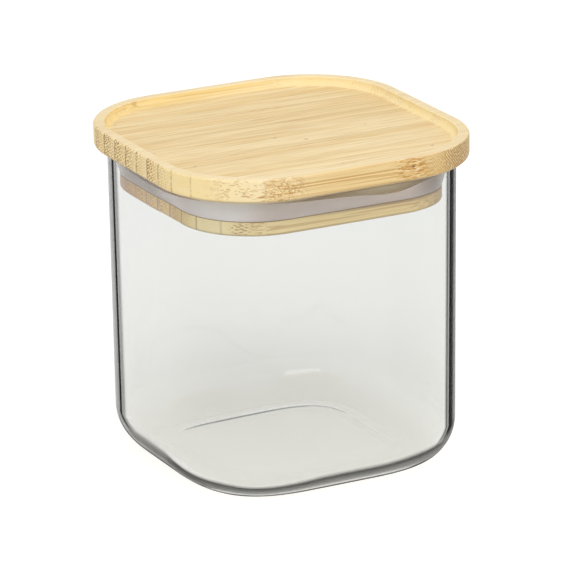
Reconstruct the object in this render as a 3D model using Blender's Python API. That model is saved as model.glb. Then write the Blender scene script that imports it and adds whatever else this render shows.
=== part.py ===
"""Square glass storage jar with a bamboo stopper lid and a silicone seal.

Metres, +Z up. The origin is the centre of the jar's base, on the surface it stands on.
The bamboo strips of the lid run along X. The jar and the lid are squares with large round corners.
"""
import math

import bmesh
import bpy
from mathutils import Matrix, Vector

MM = 0.001

# Glass body. Its corners bend in gradually: power 2 would be a quarter circle. The draft is how much
# nearer to the axis each side is at the base than at the mouth.
GLASS_HALF = 51.9 * MM
GLASS_CORNER = 42.0 * MM
GLASS_CORNER_POWER = 2.6
GLASS_HEIGHT = 106.0 * MM
GLASS_DRAFT = 0.6 * MM
GLASS_WALL = 3.0 * MM
GLASS_FLOOR = 3.2 * MM
GLASS_FOOT_RADIUS = 15.2 * MM
GLASS_LIP_RADIUS = 1.1 * MM
FOOT_RING_WIDTH = 4.5 * MM
PUSH_UP_SLOPE = 4.0 * MM
PUSH_UP_RISE = 0.8 * MM

# Gap between pieces that touch on the real object
CLEARANCE = 0.3 * MM

# Lid board with its tray
LID_HALF = 55.0 * MM
LID_CORNER = 33.7 * MM
LID_THICKNESS = 8.2 * MM
LID_TOP_EDGE = 0.9 * MM
LID_BOTTOM_EDGE = 1.6 * MM
TRAY_RIM = 3.9 * MM
TRAY_DEPTH = 3.0 * MM
TRAY_COVE = 2.6 * MM
TRAY_RIM_EDGE = 0.5 * MM

# Plug under the lid: a flange at the bottom and a groove for the seal above it
PLUG_DEPTH = 13.4 * MM
PLUG_GAP_TO_GLASS = 3.0 * MM
PLUG_CORNER = 24.9 * MM
FLANGE_THICKNESS = 4.8 * MM
FLANGE_EDGE = 0.8 * MM
GROOVE_DEPTH = 3.5 * MM

# Bamboo strips that the lid is glued from
STRIP_COUNT = 15
STRIP_PITCH = 8.14 * MM
GLUE_LINE = 0.1 * MM

# Seal section: a strap in the groove, and a lip that flares up to the glass
STRAP_THICKNESS = 1.3 * MM
STRAP_HEIGHT = 8.0 * MM
WEB_REACH = 3.2 * MM
WEB_THICKNESS = 1.0 * MM
LIP_HEIGHT = 6.4 * MM
LIP_ROOT = 1.3 * MM
LIP_TIP = 0.7 * MM
LIP_CURL = 0.4
LIP_STEPS = 5

# Fineness of the round parts
GLASS_CORNER_STEPS = 16
CORNER_STEPS = 12
SIDE_STEPS = 6
FOOT_STEPS = 7
COVE_STEPS = 4
EDGE_STEPS = 3
SHARP_ANGLE = math.radians(35.0)

# Values worked out from the above
LID_UNDERSIDE = GLASS_HEIGHT + CLEARANCE
LID_TOP = LID_UNDERSIDE + LID_THICKNESS
LID_CENTRE = LID_HALF - LID_CORNER
GLASS_INSIDE = GLASS_HALF - GLASS_WALL
FLANGE_HALF = GLASS_INSIDE - PLUG_GAP_TO_GLASS
PLUG_CENTRE = FLANGE_HALF - PLUG_CORNER
NECK_HALF = FLANGE_HALF - GROOVE_DEPTH
SEAL_FOOT_HALF = NECK_HALF + CLEARANCE
PLUG_BOTTOM = LID_UNDERSIDE - PLUG_DEPTH
FLANGE_TOP = PLUG_BOTTOM + FLANGE_THICKNESS

# Helper sizes: how far joined solids run into each other, how far a slab passes the lid,
# how close counts as the same place, and the round corner that comes closest to the glass's own
OVERLAP = 1.0 * MM
SLAB_MARGIN = 5.0 * MM
TOLERANCE = 0.01 * MM
GLASS_CENTRE = 18.0 * MM
GLASS_SPREAD = 1.2 * MM
REACH_STEPS = 40


def clear_scene():
    """Remove the objects that a new file starts with."""
    for item in list(bpy.data.objects):
        bpy.data.objects.remove(item, do_unlink=True)


def make_collection(name):
    """A new collection in the scene."""
    collection = bpy.data.collections.new(name)
    bpy.context.scene.collection.children.link(collection)
    return collection


def make_material(name, colour, roughness, transmission=0.0):
    """A plain Principled material."""
    material = bpy.data.materials.new(name)
    material.use_nodes = True
    shader = material.node_tree.nodes["Principled BSDF"]
    shader.inputs["Base Color"].default_value = (*colour, 1.0)
    shader.inputs["Roughness"].default_value = roughness
    shader.inputs["Metallic"].default_value = 0.0
    shader.inputs["Transmission Weight"].default_value = transmission
    material.diffuse_color = (*colour, 1.0)
    return material


def mesh_from(name, shape):
    """Turn a bmesh into mesh data with smooth round parts and sharp edges."""
    bmesh.ops.recalc_face_normals(shape, faces=shape.faces)
    mesh = bpy.data.meshes.new(name)
    shape.to_mesh(mesh)
    shape.free()
    mesh.shade_smooth()
    mesh.set_sharp_from_angle(angle=SHARP_ANGLE)
    return mesh


def add_object(name, mesh, collection, material=None):
    """Put a mesh in a collection as a named object."""
    item = bpy.data.objects.new(name, mesh)
    collection.objects.link(item)
    if material:
        mesh.materials.clear()
        mesh.materials.append(material)
    return item


def as_cutter(item):
    """Show a helper solid as wire only."""
    item.hide_render = True
    item.display_type = "WIRE"
    return item


def add_boolean(item, operation, other):
    """Join, cut or intersect an object with another."""
    modifier = item.modifiers.new(operation.title() + " " + other.name, "BOOLEAN")
    modifier.operation = operation
    modifier.solver = "EXACT"
    modifier.object = other


def rounded_block(half, corner, low, high, power=2.0, steps=CORNER_STEPS):
    """A square block with upright round corners."""
    shape = bmesh.new()
    bmesh.ops.create_cube(shape, size=1.0)
    bmesh.ops.scale(shape, vec=(2 * half, 2 * half, high - low), verts=shape.verts)
    bmesh.ops.translate(shape, vec=(0, 0, (low + high) / 2), verts=shape.verts)
    uprights = []
    for edge in shape.edges:
        start, end = edge.verts
        if abs(start.co.z - end.co.z) > TOLERANCE:
            uprights.append(edge)
    profile = 0.5 ** (2.0 / power)
    bmesh.ops.bevel(shape, geom=uprights, offset=corner, offset_type="OFFSET",
                    segments=steps, profile=profile, affect="EDGES")
    return shape


def outline_half(point, centre):
    """Half the side of the rounded square through a point, for corners round (centre, centre)."""
    over_x = max(abs(point.x) - centre, 0.0)
    over_y = max(abs(point.y) - centre, 0.0)
    return centre + math.hypot(over_x, over_y)


def outline_edges(shape, height, half, centre, spread):
    """The edges along one rounded square at one height."""
    found = []
    for edge in shape.edges:
        level = all(abs(v.co.z - height) < TOLERANCE for v in edge.verts)
        on_outline = all(abs(outline_half(v.co, centre) - half) < spread for v in edge.verts)
        if level and on_outline:
            found.append(edge)
    return found


def round_outline(shape, height, half, centre, radius, steps, spread=TOLERANCE):
    """Round off the edges along one rounded square."""
    edges = outline_edges(shape, height, half, centre, spread)
    bmesh.ops.bevel(shape, geom=edges, offset=radius, offset_type="OFFSET",
                    segments=steps, profile=0.5, affect="EDGES")


def flat_face(shape, height):
    """The largest level face at one height."""
    level = []
    for face in shape.faces:
        if all(abs(v.co.z - height) < TOLERANCE for v in face.verts):
            level.append(face)
    return max(level, key=lambda face: face.calc_area())


def sink_pocket(shape, height, margin, depth):
    """Sink the middle of the top face straight down, leaving a margin round it."""
    shape.normal_update()
    top = flat_face(shape, height)
    bmesh.ops.inset_region(shape, faces=[top], thickness=margin, use_even_offset=True)
    moved = bmesh.ops.extrude_face_region(shape, geom=[top])
    shape.faces.remove(top)
    points = [v for v in moved["geom"] if isinstance(v, bmesh.types.BMVert)]
    bmesh.ops.translate(shape, vec=(0, 0, -depth), verts=points)


def add_push_up(shape):
    """Raise the middle of the base, so that the jar stands on a flat ring."""
    shape.normal_update()
    base = flat_face(shape, 0.0)
    bmesh.ops.inset_region(shape, faces=[base], thickness=FOOT_RING_WIDTH, use_even_offset=True)
    bmesh.ops.inset_region(shape, faces=[base], thickness=PUSH_UP_SLOPE, depth=-PUSH_UP_RISE,
                           use_even_offset=True)


def narrow_to_base(shape):
    """Draw the sides in towards the base, as moulded glass needs to leave its mould."""
    for vertex in shape.verts:
        depth = 1 - vertex.co.z / GLASS_HEIGHT
        scale = 1 - depth * GLASS_DRAFT / GLASS_HALF
        vertex.co.x *= scale
        vertex.co.y *= scale


def make_glass_jar(collection, material):
    """The glass body: thick floor, wide round foot, even wall and a rounded lip."""
    shape = rounded_block(GLASS_HALF, GLASS_CORNER, 0.0, GLASS_HEIGHT,
                          GLASS_CORNER_POWER, GLASS_CORNER_STEPS)
    sink_pocket(shape, GLASS_HEIGHT, GLASS_WALL, GLASS_HEIGHT - GLASS_FLOOR)
    inner_radius = GLASS_FOOT_RADIUS - GLASS_WALL
    for height, half, radius, steps in (
            (GLASS_FLOOR, GLASS_INSIDE, inner_radius, FOOT_STEPS),
            (0.0, GLASS_HALF, GLASS_FOOT_RADIUS, FOOT_STEPS),
            (GLASS_HEIGHT, GLASS_HALF, GLASS_LIP_RADIUS, EDGE_STEPS),
            (GLASS_HEIGHT, GLASS_INSIDE, GLASS_LIP_RADIUS, EDGE_STEPS)):
        round_outline(shape, height, half, GLASS_CENTRE, radius, steps, GLASS_SPREAD)
    add_push_up(shape)
    narrow_to_base(shape)
    return add_object("glass_jar", mesh_from("glass_jar", shape), collection, material)


def make_lid_board(cutters):
    """The board of the lid, with its coved tray."""
    shape = rounded_block(LID_HALF, LID_CORNER, LID_UNDERSIDE, LID_TOP)
    sink_pocket(shape, LID_TOP, TRAY_RIM, TRAY_DEPTH)
    tray_half = LID_HALF - TRAY_RIM
    tray_floor = LID_TOP - TRAY_DEPTH
    round_outline(shape, tray_floor, tray_half, LID_CENTRE, TRAY_COVE, COVE_STEPS)
    round_outline(shape, LID_TOP, tray_half, LID_CENTRE, TRAY_RIM_EDGE, EDGE_STEPS)
    round_outline(shape, LID_TOP, LID_HALF, LID_CENTRE, LID_TOP_EDGE, EDGE_STEPS)
    round_outline(shape, LID_UNDERSIDE, LID_HALF, LID_CENTRE, LID_BOTTOM_EDGE, EDGE_STEPS)
    return as_cutter(add_object("lid_board", mesh_from("lid_board", shape), cutters))


def make_plug_neck(cutters):
    """The core of the plug, which is the floor of the seal's groove."""
    low = FLANGE_TOP - OVERLAP
    high = LID_UNDERSIDE + OVERLAP
    shape = rounded_block(NECK_HALF, NECK_HALF - PLUG_CENTRE, low, high)
    return as_cutter(add_object("plug_neck", mesh_from("plug_neck", shape), cutters))


def make_plug_flange(cutters):
    """The flange that keeps the seal on the plug."""
    shape = rounded_block(FLANGE_HALF, PLUG_CORNER, PLUG_BOTTOM, FLANGE_TOP)
    round_outline(shape, PLUG_BOTTOM, FLANGE_HALF, PLUG_CENTRE, FLANGE_EDGE, EDGE_STEPS)
    return as_cutter(add_object("plug_flange", mesh_from("plug_flange", shape), cutters))


def milled_lid_mesh(cutters):
    """The whole lid as one milled shape, before it is divided into its strips."""
    board = make_lid_board(cutters)
    add_boolean(board, "UNION", make_plug_neck(cutters))
    add_boolean(board, "UNION", make_plug_flange(cutters))
    bpy.context.view_layer.update()
    graph = bpy.context.evaluated_depsgraph_get()
    return bpy.data.meshes.new_from_object(board.evaluated_get(graph))


def strip_limits(index):
    """The two sides of a strip in Y. The outer strips end at the lid's own side."""
    middle = (index - (STRIP_COUNT - 1) / 2) * STRIP_PITCH
    low = middle - (STRIP_PITCH - GLUE_LINE) / 2
    high = middle + (STRIP_PITCH - GLUE_LINE) / 2
    return low, high


def groove_cuts_through(index):
    """True for a strip that the groove divides: a sliver of it is left on the flange."""
    low, high = strip_limits(index)
    inner_side = min(abs(low), abs(high))
    return NECK_HALF < inner_side < FLANGE_HALF


def make_slab(name, index, slab_low, slab_high, cutters):
    """A slab as wide as one strip and longer than the lid, from one height to another."""
    low, high = strip_limits(index)
    shape = bmesh.new()
    bmesh.ops.create_cube(shape, size=1.0)
    size = (2 * (LID_HALF + SLAB_MARGIN), high - low, slab_high - slab_low)
    bmesh.ops.scale(shape, vec=size, verts=shape.verts)
    middle = (0, (low + high) / 2, (slab_low + slab_high) / 2)
    bmesh.ops.translate(shape, vec=middle, verts=shape.verts)
    return as_cutter(add_object(name, mesh_from(name, shape), cutters))


def make_lid_strips(collection, cutters, materials):
    """The lid's bamboo strips: the milled lid, divided at its glue lines."""
    milled = milled_lid_mesh(cutters)
    below = PLUG_BOTTOM - SLAB_MARGIN
    above = LID_TOP + SLAB_MARGIN
    in_groove = (FLANGE_TOP + LID_UNDERSIDE) / 2
    for index in range(STRIP_COUNT):
        number = f"{index + 1:02d}"
        material = materials[index % len(materials)]
        divided = groove_cuts_through(index)
        strip = add_object(f"lid_strip_{number}", milled.copy(), collection, material)
        slab = make_slab(f"slab_{number}", index, in_groove if divided else below, above, cutters)
        add_boolean(strip, "INTERSECT", slab)
        if divided:
            sliver = add_object(f"lid_sliver_{number}", milled.copy(), collection, material)
            low_slab = make_slab(f"low_slab_{number}", index, below, in_groove, cutters)
            add_boolean(sliver, "INTERSECT", low_slab)


def seal_path_points():
    """Points along the foot of the groove, one loop round the plug."""
    radius = SEAL_FOOT_HALF - PLUG_CENTRE
    turn = Matrix.Rotation(math.radians(90), 3, "Z")
    quarter_points = []
    for step in range(CORNER_STEPS + 1):
        angle = math.radians(90 * step / CORNER_STEPS)
        x = PLUG_CENTRE + radius * math.cos(angle)
        y = PLUG_CENTRE + radius * math.sin(angle)
        quarter_points.append(Vector((x, y, 0.0)))
    for step in range(1, SIDE_STEPS):
        x = PLUG_CENTRE - 2 * PLUG_CENTRE * step / SIDE_STEPS
        quarter_points.append(Vector((x, SEAL_FOOT_HALF, 0.0)))
    points = []
    for _ in range(4):
        points.extend(quarter_points)
        quarter_points = [turn @ point for point in quarter_points]
    return points


def lip_flare():
    """How far the lip spreads out beyond its foot, at the middle of a side."""
    return GLASS_INSIDE - CLEARANCE - SEAL_FOOT_HALF - WEB_REACH


def seal_section_points():
    """The seal's section: x outwards from the groove, y upwards from the flange."""
    flare = lip_flare()
    outside = []
    inside = []
    for step in range(LIP_STEPS + 1):
        share = step / LIP_STEPS
        x = WEB_REACH + flare * share * (1 + LIP_CURL - LIP_CURL * share)
        outside.append((x, LIP_HEIGHT * share, 0.0))
        thickness = LIP_ROOT + (LIP_TIP - LIP_ROOT) * share
        inner_height = WEB_THICKNESS + (LIP_HEIGHT - WEB_THICKNESS) * share
        inside.append((x - thickness, inner_height, 0.0))
    strap = [
        (STRAP_THICKNESS, WEB_THICKNESS, 0.0),
        (STRAP_THICKNESS, STRAP_HEIGHT, 0.0),
        (0.0, STRAP_HEIGHT, 0.0),
        (0.0, 0.0, 0.0),
    ]
    return outside + inside[::-1] + strap


def outline_reach(place, half, corner, power, inset):
    """How far out a rounded square lies from the axis, in the direction of a place."""
    distance = math.hypot(place.x, place.y)
    across = abs(place.x) / distance
    along = abs(place.y) / distance
    centre = half - corner
    low = half / 2
    high = half * 2
    for _ in range(REACH_STEPS):
        reach = (low + high) / 2
        over_x = max(reach * across - centre, 0.0) / corner
        over_y = max(reach * along - centre, 0.0) / corner
        if over_x ** power + over_y ** power > 1:
            high = reach
        else:
            low = reach
    slope_x = over_x ** (power - 1)
    slope_y = over_y ** (power - 1)
    turned = (slope_x * across + slope_y * along) / math.hypot(slope_x, slope_y)
    return reach - inset / turned


def spread_lip_to_glass(shape):
    """Move the lip out or in, so that its tip follows the glass and its foot the plug."""
    web_half = SEAL_FOOT_HALF + WEB_REACH
    for vertex in shape.verts:
        beyond_web = outline_half(vertex.co, PLUG_CENTRE) - web_half
        if beyond_web < TOLERANCE:
            continue
        share = beyond_web / lip_flare()
        foot = outline_reach(vertex.co, web_half, web_half - PLUG_CENTRE, 2.0, 0.0)
        tip = outline_reach(vertex.co, GLASS_HALF, GLASS_CORNER, GLASS_CORNER_POWER,
                            GLASS_WALL + CLEARANCE)
        scale = (foot + (tip - foot) * share) / math.hypot(vertex.co.x, vertex.co.y)
        vertex.co.x *= scale
        vertex.co.y *= scale


def poly_curve(name, points, collection, flat):
    """A closed curve of straight spans."""
    curve = bpy.data.curves.new(name, "CURVE")
    curve.dimensions = "2D" if flat else "3D"
    curve.fill_mode = "NONE" if flat else "FULL"
    spline = curve.splines.new("POLY")
    spline.points.add(len(points) - 1)
    for knot, point in zip(spline.points, points):
        knot.co = (*point, 1.0)
    spline.use_cyclic_u = True
    item = bpy.data.objects.new(name, curve)
    collection.objects.link(item)
    return item


def make_seal_ring(collection, cutters, material):
    """The silicone seal, its section swept round the plug."""
    section = as_cutter(poly_curve("seal_section", seal_section_points(), cutters, flat=True))
    path = as_cutter(poly_curve("seal_path", seal_path_points(), cutters, flat=False))
    path.location.z = FLANGE_TOP + CLEARANCE
    path.data.twist_mode = "Z_UP"
    path.data.bevel_mode = "OBJECT"
    path.data.bevel_object = section
    bpy.context.view_layer.update()
    graph = bpy.context.evaluated_depsgraph_get()
    swept = bpy.data.meshes.new_from_object(path.evaluated_get(graph))
    shape = bmesh.new()
    shape.from_mesh(swept)
    bmesh.ops.transform(shape, matrix=path.matrix_world, verts=shape.verts)
    bmesh.ops.remove_doubles(shape, verts=shape.verts, dist=TOLERANCE)
    spread_lip_to_glass(shape)
    bpy.data.objects.remove(path, do_unlink=True)
    bpy.data.objects.remove(section, do_unlink=True)
    bpy.data.meshes.remove(swept)
    return add_object("seal_ring", mesh_from("seal_ring", shape), collection, material)


def build():
    """Make the whole jar."""
    clear_scene()
    jar = make_collection("storage_jar")
    cutters = make_collection("storage_jar_cutters")
    glass = make_material("clear_glass", (0.93, 0.96, 0.95), 0.02, transmission=1.0)
    silicone = make_material("silicone", (0.60, 0.57, 0.62), 0.45, transmission=0.3)
    bamboo_pale = make_material("bamboo_pale", (0.86, 0.68, 0.38), 0.5)
    bamboo_warm = make_material("bamboo_warm", (0.80, 0.59, 0.29), 0.5)
    make_glass_jar(jar, glass)
    make_lid_strips(jar, cutters, [bamboo_pale, bamboo_warm])
    make_seal_ring(jar, cutters, silicone)


build()
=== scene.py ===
"""Looks of a square glass storage jar with a bamboo stopper lid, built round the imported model."""
import math
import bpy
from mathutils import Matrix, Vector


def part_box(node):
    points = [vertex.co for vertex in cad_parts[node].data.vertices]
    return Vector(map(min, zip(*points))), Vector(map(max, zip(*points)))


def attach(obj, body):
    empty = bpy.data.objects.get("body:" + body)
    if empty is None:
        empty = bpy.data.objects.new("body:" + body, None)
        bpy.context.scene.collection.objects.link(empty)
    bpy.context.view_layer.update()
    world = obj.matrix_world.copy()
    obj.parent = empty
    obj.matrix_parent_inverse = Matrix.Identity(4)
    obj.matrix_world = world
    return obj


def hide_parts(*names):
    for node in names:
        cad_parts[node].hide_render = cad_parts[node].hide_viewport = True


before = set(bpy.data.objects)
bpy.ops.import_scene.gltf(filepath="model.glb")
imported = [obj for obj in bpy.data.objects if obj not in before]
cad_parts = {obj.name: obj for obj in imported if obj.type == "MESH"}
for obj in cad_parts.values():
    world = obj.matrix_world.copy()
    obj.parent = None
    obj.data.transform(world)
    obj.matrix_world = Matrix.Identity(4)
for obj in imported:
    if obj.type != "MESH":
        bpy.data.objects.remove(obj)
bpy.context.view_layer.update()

from types import SimpleNamespace

import bmesh
import bpy
from mathutils import Matrix, Vector

MM = 0.001

# Sizes that are read from the frame
_, glass_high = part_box("glass_jar")
seal_low, seal_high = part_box("seal_ring")
strip_low, strip_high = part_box("lid_strip_08")
edge_strip_low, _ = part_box("lid_strip_01")
GLASS_HALF = glass_high.x
GLASS_HEIGHT = glass_high.z
LID_HALF = strip_high.x
LID_TOP = strip_high.z
LID_UNDERSIDE = edge_strip_low.z
PLUG_BOTTOM = strip_low.z
SEAL_HALF = seal_high.x
SEAL_FOOT = seal_low.z

# Glass body. Its corners bend in gradually: power 2 would be a quarter circle. The draft is how much
# nearer to the axis each side is at the base than at the mouth.
GLASS_CORNER = 42.0 * MM
GLASS_CORNER_POWER = 2.6
GLASS_DRAFT = 0.6 * MM
GLASS_WALL = 3.0 * MM
GLASS_FLOOR = 3.2 * MM
GLASS_FOOT_RADIUS = 15.2 * MM
GLASS_LIP_RADIUS = 1.1 * MM
FOOT_RING_WIDTH = 4.5 * MM
PUSH_UP_SLOPE = 4.0 * MM
PUSH_UP_RISE = 0.8 * MM
GLASS_INSIDE = GLASS_HALF - GLASS_WALL

# The round corner that comes closest to the glass's own, and how far the two lie apart
GLASS_CENTRE = 18.0 * MM
GLASS_SPREAD = 1.2 * MM

# Lid
LID_CORNER = 33.7 * MM
LID_CENTRE = LID_HALF - LID_CORNER
LID_TOP_EDGE = 0.9 * MM
LID_BOTTOM_EDGE = 1.6 * MM
TRAY_RIM = 3.9 * MM
TRAY_DEPTH = 3.0 * MM
TRAY_COVE = 2.6 * MM
TRAY_RIM_EDGE = 0.5 * MM
FLANGE_HALF = 45.9 * MM
FLANGE_TOP = PLUG_BOTTOM + 4.8 * MM
FLANGE_EDGE = 0.8 * MM
NECK_HALF = 42.4 * MM
PLUG_CENTRE = 21.0 * MM
STRIP_COUNT = 15
DIVIDED_STRIPS = (2, 14)
STRIP_PITCH = 8.14 * MM

# Seal section
STRAP_THICKNESS = 1.3 * MM
STRAP_HEIGHT = 8.0 * MM
WEB_REACH = 3.2 * MM
WEB_THICKNESS = 1.0 * MM
LIP_HEIGHT = 6.4 * MM
LIP_ROOT = 1.3 * MM
LIP_TIP = 0.7 * MM
LIP_CURL = 0.4
SEAL_CLEARANCE = 0.3 * MM

# Where the lip's top edge is lower: azimuth in degrees, depth, and width in degrees
LIP_DIPS = (
    (288, 1.6 * MM, 8),
    (276, 1.35 * MM, 20),
    (100, 1.2 * MM, 16),
    (181, 1.6 * MM, 17),
    (200, 0.5 * MM, 9),
    (20, 1.0 * MM, 12),
)
SEAL_FOOT_HALF = NECK_HALF + SEAL_CLEARANCE

# Finish of each bamboo strip: paleness at its -X end and at its +X end, redness, how dark its fibre
# ends are, and the place of its own grain. The fibre ends crowd towards the strip's +Y side, or
# towards its -Y side where their darkness is given as a negative number.
STRIP_FINISHES = (
    (0.55, 0.25, 0.60, 0.50, 0.13),
    (1.00, 0.10, 0.00, -0.25, 0.71),
    (0.85, 0.30, 0.05, -0.65, 0.32),
    (0.65, 0.45, 0.10, -0.85, 0.94),
    (0.75, 0.60, 0.05, 0.35, 0.47),
    (0.35, 0.55, 0.12, 0.85, 0.05),
    (0.75, 0.60, 0.00, 0.45, 0.62),
    (0.60, 0.55, 0.05, 0.75, 0.26),
    (0.50, 0.55, 0.10, 1.00, 0.81),
    (0.45, 0.55, 0.10, 1.00, 0.39),
    (0.10, 0.50, 0.25, 0.90, 0.98),
    (0.60, 0.65, 0.00, 0.45, 0.18),
    (0.55, 0.55, 0.10, -0.60, 0.55),
    (0.80, 0.60, 0.10, 0.45, 0.87),
    (0.45, 0.40, 0.60, -0.50, 0.02),
)

# How far each strip's grain is moved from the next one's, in millimetres along each axis
OWN_GRAIN = (900.0, 7.0, 60.0)

# How far the rows of fibre ends slant
FIBRE_SLANT = math.radians(40.0)

# Where the fibre ends crowd more, whatever the strip: place and reach in millimetres, and strength
DOTTED_PATCH = ((-37.5, -43.5, 95.3), (6.0, 6.0, 4.0), 1.10)

# Where the fibre ends show in even rows round a corner, where small arcs show, and where the plug's
# corner gets painted light: place and reach in millimetres
EVEN_DOTS = ((50.0, -53.0, 110.0), (34.0, 27.0, 16.0))
ARCS = ((-28.0, -56.0, 109.5), (12.0, 5.0, 12.0))
PLUG_PAINTED_LIGHT = ((-43.0, -34.0, 96.0), (15.0, 17.0, 9.0))

# Knuckles and other marks in the bamboo: place and reach in millimetres, and strength
KNUCKLES = (
    ((-28.0, -56.0, 109.0), (9.0, 3.0, 9.0), 0.35),
    ((19.5, -56.0, 110.8), (10.0, 4.0, 8.0), 1.00),
    ((27.0, 51.5, 113.2), (11.0, 3.0, 4.0), 0.55),
    ((34.0, 53.0, 112.5), (9.0, 3.5, 3.0), 0.45),
    ((51.1, 18.5, 112.3), (3.0, 4.0, 2.5), 0.55),
    ((-23.0, -14.5, 111.5), (5.0, 1.6, 2.0), 0.45),
    ((6.0, 28.5, 111.5), (14.0, 2.6, 2.0), 0.40),
    ((9.5, 10.5, 111.5), (9.0, 1.5, 2.0), 0.25),
    ((-20.0, 54.0, 109.0), (7.0, 3.0, 8.0), 0.80),
    ((54.0, -12.0, 109.0), (3.0, 3.5, 8.0), 0.35),
)

# Chip in the lid's bottom edge: place and half sizes
CHIP_PLACE = (-33.5 * MM, -55.2 * MM, 106.2 * MM)
CHIP_SIZE = (2.4 * MM, 1.1 * MM, 1.5 * MM)

# Dark specks on the lid: place in millimetres and size
SPECKS = (
    ((4.4, -10.1, 111.3), 0.60),
    ((-4.0, -3.9, 111.3), 0.50),
    ((-41.2, -19.5, 111.3), 0.45),
    ((-46.5, -0.2, 111.3), 0.40),
    ((-43.3, 36.6, 111.3), 0.45),
    ((29.6, -4.3, 111.3), 0.40),
    ((36.9, -37.3, 111.3), 0.50),
    ((2.1, -40.3, 111.3), 0.35),
    ((20.0, -55.0, 111.4), 0.40),
)

# Specks and a nick in the seal, and the corners where it gets painted light and painted shade: place and
# reach in millimetres
SEAL_SPECKS = (
    ((-48.0, -20.7, 99.5), (2.0, 0.55, 0.45)),
    ((-45.2, -38.2, 99.9), (1.0, 1.0, 0.45)),
)
SEAL_NICK = ((-1.8, -47.5, 99.2), (2.3, 2.5, 0.8))
SEAL_PAINTED_LIGHT = ((-42.0, -40.0, 101.0), (17.0, 17.0, 12.0))
SEAL_PAINTED_SHADE = ((40.0, -45.0, 102.0), (19.0, 15.0, 12.0))

# Fineness
GLASS_CORNER_STEPS = 36
CORNER_STEPS = 28
SIDE_STEPS = 20
REACH_STEPS = 40
FOOT_STEPS = 16
COVE_STEPS = 8
EDGE_STEPS = 5
LIP_STEPS = 12
SMOOTH_ANGLE = math.radians(35.0)
TOLERANCE = 0.01 * MM

# Camera, solved from the outline of the jar in the reference view
VIEW_SIZE = 570
SENSOR_WIDTH = 36.0
FOCAL_PIXELS = 4476.5
AZIMUTH = math.radians(-27.14)
ELEVATION = math.radians(18.39)
ROLL = math.radians(-0.848)
DISTANCE = 1502.4 * MM
AIM_HEIGHT = 57.25 * MM
AIM_RIGHT = 0.81 * MM
AIM_UP = 1.17 * MM

# Glass edge, a painted reflection of dark surroundings: the Layer Weight facing of the surface, and
# how dark it is there. From the face to the outline: a first line, a grey gap, the dark core, and a long
# fade.
EDGE_BANDS_RIGHT = (
    (0.54, 0.00),
    (0.59, 0.90),
    (0.62, 0.50),
    (0.65, 0.98),
    (0.74, 0.94),
    (0.80, 0.65),
    (1.00, 0.15),
)
EDGE_BANDS_LEFT = (
    (0.65, 0.00),
    (0.68, 0.60),
    (0.71, 0.55),
    (0.72, 1.00),
    (0.75, 0.95),
    (0.76, 0.60),
    (1.00, 0.10),
)

# The same round the foot, from the outline inwards: a line, a gap and a wide grey band. Then how wide
# it all is: on the left from the Y faces to the X face, and on the right from the Y faces to the corner
FOOT_BANDS = (
    (0.18, 0.95),
    (0.25, 0.13),
    (0.31, 0.13),
    (0.37, 0.55),
    (0.58, 0.90),
    (0.68, 0.00),
)
FOOT_WIDTHS_LEFT = (0.92, 0.53)
FOOT_WIDTHS_RIGHT = (0.92, 0.38)

# Where the glass's bands begin and are full: inwards from its middle planes, up from its base, and
# from its left half to its right. The foot's bands end upwards. A place is on the outside where it
# lies further out along its own normal than the last value.
BANDS_IN = (5.0 * MM, 14.0 * MM)
BANDS_UP = (5.0 * MM, 14.0 * MM)
BANDS_LEFT_TO_RIGHT = (-5.0 * MM, 5.0 * MM)
FOOT_BANDS_END = (15.0 * MM, 9.0 * MM)
OUTSIDE = 4.0 * MM

# Glass, the dark of its painted reflection bands, and what its shadow lets through
GLASS_COLOUR = (0.945, 0.948, 0.938, 1.0)
PAINTED_REFLECTION_DARK = (0.02, 0.022, 0.021, 1.0)
SHADOW_COLOUR = (0.97, 0.97, 0.965, 1.0)
DEPTH_COLOUR = (0.25, 0.30, 0.15, 1.0)
DEPTH_DENSITY = 14.0

# Light
WORLD_LIGHT = 0.74
FLOOR_SIZE = 20.0
FLOOR_GLOW = 0.40
FLOOR_GLOW_IN_GLASS = 0.22
KEY_PLACE = (-0.4, -1.15, 1.7)
KEY_SIZE = 1.6
KEY_POWER = 17.0
LAMP_AIM = (0.0, 0.0, 0.06)


# Modelling helpers

def deselect_all():
    """Leave nothing selected."""
    for item in bpy.context.selected_objects:
        item.select_set(False)


def make_active(item):
    """Select one object alone."""
    deselect_all()
    item.select_set(True)
    bpy.context.view_layer.objects.active = item


def add_block(name, half, low, high):
    """A square block of a given half side, from one height to another."""
    deselect_all()
    middle = (0, 0, (low + high) / 2)
    bpy.ops.mesh.primitive_cube_add(size=1.0, location=middle, scale=(2 * half, 2 * half, high - low))
    item = bpy.context.object
    item.name = name
    item.data.name = name
    bpy.ops.object.transform_apply(location=True, rotation=True, scale=True)
    return item


def start_edit(item, mode):
    """Open an object in edit mode with nothing selected."""
    make_active(item)
    bpy.ops.object.mode_set(mode="EDIT")
    bpy.ops.mesh.select_mode(type=mode)
    bpy.ops.mesh.select_all(action="DESELECT")
    return bmesh.from_edit_mesh(item.data)


def end_edit():
    """Back to object mode."""
    bpy.ops.object.mode_set(mode="OBJECT")


def outline_half(point, centre):
    """Half the side of the rounded square through a point, for corners round (centre, centre)."""
    over_x = max(abs(point.x) - centre, 0.0)
    over_y = max(abs(point.y) - centre, 0.0)
    return centre + math.hypot(over_x, over_y)


def bevel_uprights(item, corner, power=2.0, steps=CORNER_STEPS):
    """Round the upright edges of a block."""
    shape = start_edit(item, "EDGE")
    for edge in shape.edges:
        start, end = edge.verts
        if abs(start.co.z - end.co.z) > TOLERANCE:
            edge.select = True
    shape.select_flush_mode()
    bmesh.update_edit_mesh(item.data)
    profile = 0.5 ** (2.0 / power)
    bpy.ops.mesh.bevel(offset_type="OFFSET", offset=corner, segments=steps, profile=profile,
                       affect="EDGES", clamp_overlap=False)
    end_edit()


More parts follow.
